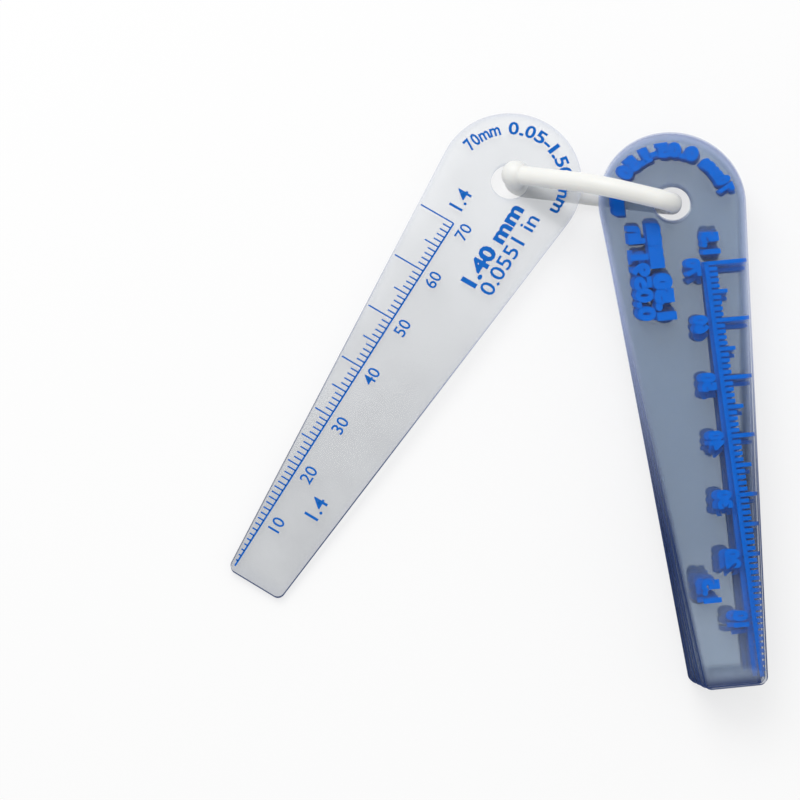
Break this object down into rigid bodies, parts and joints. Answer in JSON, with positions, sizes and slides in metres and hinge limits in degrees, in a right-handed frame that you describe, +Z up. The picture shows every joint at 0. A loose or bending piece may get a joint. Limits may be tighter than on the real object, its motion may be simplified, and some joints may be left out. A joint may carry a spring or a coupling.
{
  "type": "plastic feeler gauge",
  "caption": "Feeler gauge set of clear tapered plastic blades of graded thickness, each swinging on a closed white strap through the hole in its round head.",
  "frame": {"origin": "middle of the whole object's footprint, on the surface it lies on", "axes": "+Z up from that surface, the stack's tips point along -Y and the fanned blade lies towards -X"},
  "size_m": [0.0924, 0.1046, 0.0191],
  "materials": {
    "clear_blade": "clear sheet plastic with a faint blue cast, glossy faces and cut edges that look darker, printed in blue on one face",
    "white_strap": "soft white moulded plastic with a low sheen"
  },
  "bodies": {
    "strap": {"loop_strap": "white_strap"},
    "blade_0_05": {"blade_0_05": "clear_blade"},
    "blade_0_08": {"blade_0_08": "clear_blade"},
    "blade_0_10": {"blade_0_10": "clear_blade"},
    "blade_0_15": {"blade_0_15": "clear_blade"},
    "blade_0_20": {"blade_0_20": "clear_blade"},
    "blade_0_30": {"blade_0_30": "clear_blade"},
    "blade_0_40": {"blade_0_40": "clear_blade"},
    "blade_0_50": {"blade_0_50": "clear_blade"},
    "blade_0_60": {"blade_0_60": "clear_blade"},
    "blade_0_70": {"blade_0_70": "clear_blade"},
    "blade_0_80": {"blade_0_80": "clear_blade"},
    "blade_0_90": {"blade_0_90": "clear_blade"},
    "blade_1_00": {"blade_1_00": "clear_blade"},
    "blade_1_10": {"blade_1_10": "clear_blade"},
    "blade_1_20": {"blade_1_20": "clear_blade"},
    "blade_1_30": {"blade_1_30": "clear_blade"},
    "blade_1_50": {"blade_1_50": "clear_blade"},
    "blade_1_40": {"blade_1_40": "clear_blade"}
  },
  "joints": [
    {"name": "swing_0_05", "type": "hinge", "parent": "strap", "child": "blade_0_05", "pos_m": [0.03389, 0.03373, 0.00343], "axis": [0, -0.0412, 0.9991], "range_deg": [-44, 200]},
    {"name": "swing_0_08", "type": "hinge", "parent": "strap", "child": "blade_0_08", "pos_m": [0.03388, 0.03369, 0.00352], "axis": [0, -0.0412, 0.9991], "range_deg": [-44, 200]},
    {"name": "swing_0_10", "type": "hinge", "parent": "strap", "child": "blade_0_10", "pos_m": [0.03385, 0.03367, 0.00364], "axis": [0, -0.0412, 0.9991], "range_deg": [-44, 200]},
    {"name": "swing_0_15", "type": "hinge", "parent": "strap", "child": "blade_0_15", "pos_m": [0.03386, 0.03359, 0.0038], "axis": [0, -0.0412, 0.9991], "range_deg": [-44, 200]},
    {"name": "swing_0_20", "type": "hinge", "parent": "strap", "child": "blade_0_20", "pos_m": [0.03381, 0.03354, 0.004], "axis": [0, -0.0412, 0.9991], "range_deg": [-44, 200]},
    {"name": "swing_0_30", "type": "hinge", "parent": "strap", "child": "blade_0_30", "pos_m": [0.03374, 0.03347, 0.00428], "axis": [0, -0.0412, 0.9991], "range_deg": [-44, 200]},
    {"name": "swing_0_40", "type": "hinge", "parent": "strap", "child": "blade_0_40", "pos_m": [0.03379, 0.03325, 0.00465], "axis": [0, -0.0412, 0.9991], "range_deg": [-44, 200]},
    {"name": "swing_0_50", "type": "hinge", "parent": "strap", "child": "blade_0_50", "pos_m": [0.03356, 0.03325, 0.00513], "axis": [0, -0.0412, 0.9991], "range_deg": [-74, 225]},
    {"name": "swing_0_60", "type": "hinge", "parent": "strap", "child": "blade_0_60", "pos_m": [0.03361, 0.03293, 0.00569], "axis": [0, -0.0412, 0.9991], "range_deg": [-74, 225]},
    {"name": "swing_0_70", "type": "hinge", "parent": "strap", "child": "blade_0_70", "pos_m": [0.03354, 0.03269, 0.00636], "axis": [0, -0.0412, 0.9991], "range_deg": [-74, 224]},
    {"name": "swing_0_80", "type": "hinge", "parent": "strap", "child": "blade_0_80", "pos_m": [0.03319, 0.03267, 0.00715], "axis": [0, -0.0412, 0.9991], "range_deg": [-74, 223]},
    {"name": "swing_0_90", "type": "hinge", "parent": "strap", "child": "blade_0_90", "pos_m": [0.03344, 0.03201, 0.008], "axis": [0, -0.0412, 0.9991], "range_deg": [-74, 222]},
    {"name": "swing_1_00", "type": "hinge", "parent": "strap", "child": "blade_1_00", "pos_m": [0.03299, 0.032, 0.00898], "axis": [0, -0.0412, 0.9991], "range_deg": [-70, 220]},
    {"name": "swing_1_10", "type": "hinge", "parent": "strap", "child": "blade_1_10", "pos_m": [0.0329, 0.03158, 0.01004], "axis": [0, -0.0412, 0.9991], "range_deg": [-68, 216]},
    {"name": "swing_1_20", "type": "hinge", "parent": "strap", "child": "blade_1_20", "pos_m": [0.03293, 0.031, 0.0112], "axis": [0, -0.0412, 0.9991], "range_deg": [-65, 212]},
    {"name": "swing_1_30", "type": "hinge", "parent": "strap", "child": "blade_1_30", "pos_m": [0.03248, 0.03086, 0.01247], "axis": [0, -0.0412, 0.9991], "range_deg": [-57, 205]},
    {"name": "swing_1_50", "type": "hinge", "parent": "strap", "child": "blade_1_50", "pos_m": [0.03243, 0.03023, 0.01388], "axis": [0, -0.0412, 0.9991], "range_deg": [-43, 190]},
    {"name": "swing_1_40", "type": "hinge", "parent": "strap", "child": "blade_1_40", "pos_m": [0.00648, 0.03996, 0.00405], "axis": [-0.0242, -0.0326, 0.9992], "range_deg": [-180, 45]}
  ]
}
